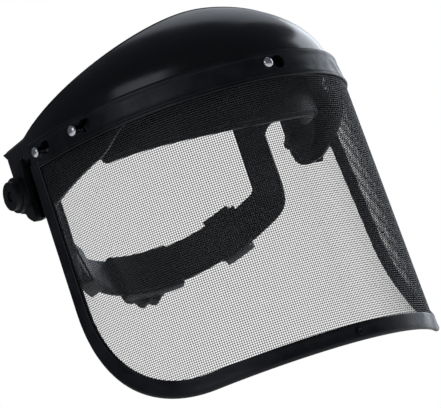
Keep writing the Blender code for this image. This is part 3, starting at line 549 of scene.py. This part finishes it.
def keyhole_tools(degrees, point, normal):
    """The round hole, the slot's end at the stud and the slot between them."""
    way = 1 if degrees <= 0 else -1
    beside = visor_point(degrees + way * KEYHOLE_SHIFT / visor_pace(degrees, STUD_Z), STUD_Z)
    deep = normal * 6 * MM
    yield pin_tool(beside - deep, beside + deep, KEYHOLE_RADIUS)
    yield pin_tool(point - deep, point + deep, SLOT_HALF)
    run = (beside - point) - normal * (beside - point).dot(normal)
    deselect()
    bpy.ops.mesh.primitive_cube_add(size=1)
    slot = bpy.context.object
    axes = Matrix((run, normal * 12 * MM, Vector((0, 0, 2 * SLOT_HALF)))).transposed()
    slot.matrix_world = Matrix.Translation(point + run / 2) @ axes.to_4x4()
    settle(slot)
    if run.cross(normal).z < 0:
        bpy.ops.object.mode_set(mode="EDIT")
        bpy.ops.mesh.select_all(action="SELECT")
        bpy.ops.mesh.normals_make_consistent(inside=False)
        bpy.ops.object.mode_set(mode="OBJECT")
    yield slot


def make_strip():
    """The vinyl strip along the visor's top: a bead above, a pressed double line below."""
    corners = (
        (17.3, -0.5), (0.2, -0.5), (-0.2, -0.2), (-0.2, 0.2), (0.2, 0.5), (17.3, 0.5),
        (17.5, 0.7), (17.5, 1.5), (17.1, 1.85), (16.2, 1.85), (15.9, 1.5), (15.4, 1.3), (15.0, 1.5),
        (14.4, 1.5), (14.0, 1.3), (11.0, 1.35), (8.0, 1.4), (5.0, 1.35), (3.0, 1.3), (2.5, 1.5),
        (1.9, 1.7), (1.0, 1.8), (0.1, 1.7), (-0.6, 1.3), (-0.8, 0.6), (-0.8, -0.6), (-0.5, -1.15),
        (0.2, -1.3), (17.3, -1.3),
    )
    top = VISOR_TOP_Z - 0.8 * MM

    def strip_point(u, v):
        inwards, out = section_at(corners, v)
        return visor_point((2 * u - 1) * EDGE_ANGLE_TOP, top - inwards * MM, out * MM)

    strip = laid_grid("visor_strip", 170, len(corners), strip_point)
    close_tube(strip)
    # each end is cut away where the binding's top covers the sheet
    for sign in SIDES.values():
        inner = EDGE_ANGLE_TOP - (BINDING_REACH + 0.9 * MM) / visor_pace(85, 0)
        deselect()
        bpy.ops.mesh.primitive_cube_add(size=1)
        corner = bpy.context.object
        low, high = visor_point(sign * inner, 0), visor_point(sign * 92, 0)
        corner.location = ((low.x + high.x) / 2, high.y, BINDING_TOP_Z - 9.7 * MM)
        corner.scale = (30 * MM, 2 * (high.y - low.y), 20 * MM)
        settle(corner)
        drill(strip, corner)
    for _, *line in stud_lines():
        drill(strip, *keyhole_tools(*line))
    shade(strip, 32)
    dress(strip, vinyl, "shield")
    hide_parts("visor_top_rim")


def binding_route(side_steps=46, corner_steps=30, bottom_steps=64):
    """(degrees round, Z, direction inwards in the sheet) down the right side, round and up the left."""
    half = [(-visor_edge(BINDING_TOP_Z), BINDING_TOP_Z, 0.0)]
    corner_z = visor_bottom(EDGE_ANGLE_BOTTOM) + CORNER_RADIUS
    for i in range(side_steps):
        z = STRIP_BOTTOM_Z + (corner_z - STRIP_BOTTOM_Z) * i / side_steps
        half.append((-visor_edge(z), z, 0.0))
    pace = visor_pace(70, corner_z - CORNER_RADIUS)
    centre = EDGE_ANGLE_BOTTOM - CORNER_RADIUS / pace
    for i in range(corner_steps):
        angle = math.pi / 2 * i / corner_steps
        degrees = centre + CORNER_RADIUS * math.cos(angle) / pace
        z = visor_bottom(degrees) + CORNER_RADIUS * (1 - math.sin(angle))
        edge = visor_edge(z) / EDGE_ANGLE_BOTTOM
        half.append((-degrees * (1 + (edge - 1) * math.cos(angle)), z, angle))
    for i in range(bottom_steps + 1):
        degrees = centre * (1 - i / bottom_steps)
        half.append((-degrees, visor_bottom(degrees), math.pi / 2))
    return half + [(-degrees, z, math.pi - lean) for degrees, z, lean in reversed(half[:-1])]


def make_binding():
    corners = (
        (8.4, -0.5), (-0.1, -0.5), (-0.6, 0.0), (-0.1, 0.5), (8.4, 0.5), (8.75, 0.8), (8.75, 1.3),
        (8.4, 1.7), (7.6, 1.9), (6.2, 1.75), (4.0, 1.75), (1.8, 1.8), (0.6, 2.0), (-0.5, 1.95),
        (-1.4, 1.5), (-1.95, 0.8), (-2.1, 0.0), (-1.95, -0.8), (-1.4, -1.5), (-0.5, -1.95), (0.6, -2.0),
        (4.0, -1.8), (7.6, -1.9), (8.4, -1.7), (8.75, -1.3), (8.75, -0.8),
    )
    route = binding_route()

    def binding_point(u, v):
        degrees, z, lean = route[round(u * (len(route) - 1))]
        inwards, out = section_at(corners, v)
        inwards *= MM
        turned_by = inwards * math.cos(lean) / visor_pace(degrees, z)
        return visor_point(degrees + turned_by, z + inwards * math.sin(lean), out * MM)

    binding = laid_grid("edge_binding", len(route) - 1, len(corners), binding_point)
    close_tube(binding)
    middle = visor_point(0, VISOR_BOTTOM_Z + 3.6 * MM)
    drill(binding, pin_tool(middle - Vector((0, 6 * MM, 0)), middle + Vector((0, 6 * MM, 0)), 1.9 * MM))
    shade(binding, 40)
    dress(binding, vinyl, "shield")
    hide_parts("visor_binding")
    profile = (2.4, 0.5), (1.5, 0.5), (1.5, 5.5), (2.5, 5.5), (2.4, 5.9), (1.5, 6.0), (0.9, 5.6), (0.4, 5.5)
    rings = [(radius * MM, height * MM) for radius, height in profile]
    eyelet = turned_cup("corner_eyelet", 2.4 * MM, rings, middle + Vector((0, 2.9 * MM, 0)), (0, -1, 0), 28)
    shade(eyelet, 35)
    dress(eyelet, satin, "shield")
    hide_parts("binding_rivet")


def weave_rows():
    """For each row of the weave: its Z and the degrees round of each crossing on the left half."""
    heights = np.arange(9.5 * MM, VISOR_BOTTOM_Z - VISOR_SAG, -WIRE_PITCH)
    for z in heights:
        angles = np.linspace(0, visor_edge(z) - 0.35, 500)
        half_width, half_depth = visor_size(z)
        radians = np.radians(angles)
        pace = np.hypot(half_width * np.cos(radians), half_depth * np.sin(radians)) * math.pi / 180
        run = np.concatenate([[0], np.cumsum((pace[1:] + pace[:-1]) / 2 * np.diff(angles))])
        count = int(run[-1] / WIRE_PITCH)
        crossings = np.interp(np.arange(count + 1) * WIRE_PITCH, run, angles)
        inside = [z > visor_floor(a) + 0.8 * MM for a in crossings]
        yield z, crossings[: inside.index(False)] if False in inside else crossings


def lay_wire(name, run):
    """A four-sided wire. Each step of its run is (point, normal, side)."""

    def wire_point(u, v):
        point, normal, side = run[round(u * (len(run) - 1))]
        return point + (normal, side, -normal, -side)[round(4 * v) % 4] * WIRE_RADIUS

    return laid_grid(name, len(run) - 1, 4, wire_point)


def wire_piece(name, runs):
    """Lays a wire along each run, joins them into one piece, welds their seams and caps their ends."""
    wires = [lay_wire(name, run) for run in runs if len(run) > 1]
    pick(wires[0])
    for other in wires[1:]:
        other.select_set(True)
    bpy.ops.object.join()
    piece = bpy.context.object
    piece.name = piece.data.name = name
    bpy.ops.object.mode_set(mode="EDIT")
    bpy.ops.mesh.select_all(action="SELECT")
    bpy.ops.mesh.remove_doubles(threshold=0.000005)
    bpy.ops.mesh.fill_holes(sides=4)
    bpy.ops.mesh.select_all(action="SELECT")
    bpy.ops.mesh.normals_make_consistent(inside=False)
    bpy.ops.object.mode_set(mode="OBJECT")
    shade(piece, 100)
    return dress(piece, wire, "shield")


def make_weave():
    """A plain weave: each wire passes over one and under the next."""
    rows = list(weave_rows())
    up = Vector((0, 0, 1))
    for side, sign in SIDES.items():
        across, down = [], {}
        for i, (z, crossings) in enumerate(rows):
            size = visor_size(z)
            across_run = []
            for j, degrees in enumerate(crossings):
                normal = plan_normal(sign * degrees, *size)
                over = WIRE_RADIUS * (1 if (i + j) % 2 else -1)
                point = visor_point(sign * degrees, z)
                tangent = Vector((normal.y, -normal.x, 0))
                across_run.append((point + normal * over, normal, up))
                if sign > 0 or j > 0:
                    down.setdefault(j, []).append((point - normal * over, normal, tangent))
            across.append(across_run)
        weft = wire_piece(f"weft_wires_{side}", across)
        wire_piece(f"warp_wires_{side}", down.values())
        if sign > 0:
            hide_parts("visor_mesh")


def make_studs():
    for name, degrees, point, normal in stud_lines():
        out = Vector((point.x, point.y))
        wall = plan_point(degrees, CROWN_HALF_WIDTH, CROWN_HALF_DEPTH)
        inner = (out - wall.xy).length + CROWN_WALL + 0.9 * MM
        tail = inner + 2.0 * MM
        head = tail + 2.0 * MM
        dome = (3.3, 0.0), (3.3, 0.45), (3.1, 0.95), (2.6, 1.4), (1.8, 1.75), (0.9, 1.95), (0.2, 2.0)
        rings = [(3.0 * MM, 0.8 * MM), (1.9 * MM, 0.8 * MM), (1.9 * MM, head)]
        rings += [(radius * MM, head + height * MM) for radius, height in dome]
        stud = turned_cup(f"stud_{name}", 2.6 * MM, rings, point - normal * tail, normal)
        shade(stud, 30)
        dress(stud, nickel, "shield")
        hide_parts(f"visor_stud_{name}")


# ---------------------------------------------------------------- headgear


def make_pad():
    """The sweatband: foam in brushed knit, crowned towards the brow, stitched near each long edge."""

    def pad_point(u, v):
        degrees = (2 * u - 1) * PAD_END
        low, high = pad_bottom(degrees), band_top(degrees) + 1.0 * MM
        middle, half = (low + high) / 2, (high - low) / 2
        end = min(1.0, (0.06 + (1 - abs(2 * u - 1)) * 26) ** 0.5)
        turn = 2 * math.pi * v
        rise, depth = math.sin(turn), math.cos(turn)
        rise = math.copysign(abs(rise) ** 0.72, rise)
        depth = math.copysign(abs(depth) ** 0.6, depth)
        inward = 3.1 * MM
        crown = 0.55 * MM * depth if depth < 0 else 0.0
        pucker = 0.22 * MM * math.sin(degrees * 6.2) * abs(rise) ** 3
        stitched = 0.9 * MM * math.exp(-(((abs(rise) - 0.74) / 0.07) ** 2)) if depth < 0 else 0.0
        out = -(5.7 * MM) + inward * depth * end + crown * end + stitched * end + pucker * end
        return head_point(degrees, middle + rise * half * (0.8 + 0.2 * end), out)

    pad = laid_grid("brow_pad", 260, 44, pad_point)
    close_tube(pad)
    shade(pad, 70)
    dress(pad, knit, "headgear")
    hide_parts("sweatband")


# how far each CAD node's edges are rounded over, in millimetres
MIDDLE_ROUNDING = {
    "front_band": 0.5, "ratchet_base": 0.4, "ratchet_cover": 0.6, "ratchet_knob": 0.8, "top_strap_pin": 0.3,
}
SIDE_ROUNDING = {"rear_arm": 0.4, "arm_peg": 0.3, "strap_peg": 0.3, "strap_keeper": 0.5, "top_strap": 0.4}


def make_headgear():
    make_pad()
    for node, width in MIDDLE_ROUNDING.items():
        rounded_copy(node, width, "nape_knob" if node == "ratchet_knob" else "headgear")
    for side in SIDES:
        for node, width in SIDE_ROUNDING.items():
            rounded_copy(f"{node}_{side}", width, "headgear")
    for side, sign in SIDES.items():
        rounded_copy(f"nape_strap_{side}", 0.3, f"{side}_nape_strap")
        rounded_copy(f"pivot_knob_{side}", 0.8, f"{side}_knob", 3)
        make_grip(side, sign)


def make_grip(side, sign):
    """The finger ribs on a strap keeper."""

    def grip_point(u, v):
        edge = min(1.0, 12 * min(u, 1 - u), 9 * min(v, 1 - v))
        rib = 0.5 - 0.5 * math.cos(2 * math.pi * 7 * u)
        radius = 84.2 * MM + (0.25 + 0.75 * rib) * MM * edge
        return nape_point(radius, sign * (42.2 + 14.1 * u), (2 * v - 1) * 14.2 * MM)

    grip = laid_grid(f"keeper_grip_{side}", 84, 20, grip_point)
    finish_modifier(grip, "SOLIDIFY", thickness=0.5 * MM, offset=-1 if sign > 0 else 1)
    shade(grip, 50)
    dress(grip, satin, "headgear")


def finish_cad_nodes():
    """The small pieces that stay as they are in the frame get their real finish."""
    for node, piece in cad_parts.items():
        for words, finish in (
            (("stud_washer",), nickel),
            (("ratchet_screw", "pivot_bolt"), satin),
            (("spring_washer", "ratchet_detent"), zinc),
            (("knob_insert",), brass),
            (("friction_washer", "ratchet_pinion"), nylon),
        ):
            if node.startswith(words):
                for slot in piece.material_slots:
                    slot.material = finish


# ---------------------------------------------------------------- studio


def make_studio():
    deselect()
    bpy.ops.mesh.primitive_plane_add(size=9, location=(0, 0, -0.62))
    floor = bpy.context.object
    floor.name = "studio_floor"
    bpy.ops.object.mode_set(mode="EDIT")
    bpy.ops.mesh.subdivide(number_cuts=4)
    bpy.ops.object.mode_set(mode="OBJECT")
    paper = Finish("pale_paper", (0.86, 0.86, 0.86), 0.8, Emission_Strength=0.28)
    paper.colour_from(paper.noise(3, 2), (0.84, 0.84, 0.84), (0.88, 0.88, 0.88))
    floor.data.materials.append(paper.material)

    world = bpy.data.worlds.new("studio")
    bpy.context.scene.world = world
    world.use_nodes = True
    tree = world.node_tree
    seen, lit = tree.nodes["Background"], tree.nodes.new("ShaderNodeBackground")
    seen.inputs["Color"].default_value = (1, 1, 1, 1)
    seen.inputs["Strength"].default_value = 1.0
    lit.inputs["Color"].default_value = (0.88, 0.93, 1.1, 1)
    lit.inputs["Strength"].default_value = 0.08
    bpy.context.scene.view_settings.view_transform = "Standard"
    rays, mix = tree.nodes.new("ShaderNodeLightPath"), tree.nodes.new("ShaderNodeMixShader")
    tree.links.new(rays.outputs["Is Camera Ray"], mix.inputs["Fac"])
    tree.links.new(lit.outputs["Background"], mix.inputs[1])
    tree.links.new(seen.outputs["Background"], mix.inputs[2])
    tree.links.new(mix.outputs["Shader"], tree.nodes["World Output"].inputs["Surface"])

    for name, place, size, power in (
        ("front_softbox", (-1.9, -1.3, 0.9), 1.4, 6),
        ("side_softbox", (1.8, 0.5, 0.2), 1.6, 14),
        ("back_softbox", (1.0, 1.5, 1.3), 2.4, 8),
    ):
        bpy.ops.object.light_add(type="AREA", location=place)
        light = bpy.context.object
        light.name = name
        light.data.size = size
        light.data.energy = power
        light.data.color = (0.86, 0.92, 1.0)
        aim = Vector((0, -0.03, -0.05)) - Vector(place)
        light.rotation_euler = aim.to_track_quat("-Z", "Y").to_euler()


gloss, satin, vinyl, wire = moulded_gloss(), moulded_satin(), strip_vinyl(), coated_wire()
nickel, zinc, brass = polished_nickel(), zinc_steel(), turned_brass()
nylon, knit = natural_nylon(), towelling()

add_camera()
make_crown()
make_strip()
make_binding()
make_weave()
make_studs()
make_headgear()
finish_cad_nodes()
make_studio()
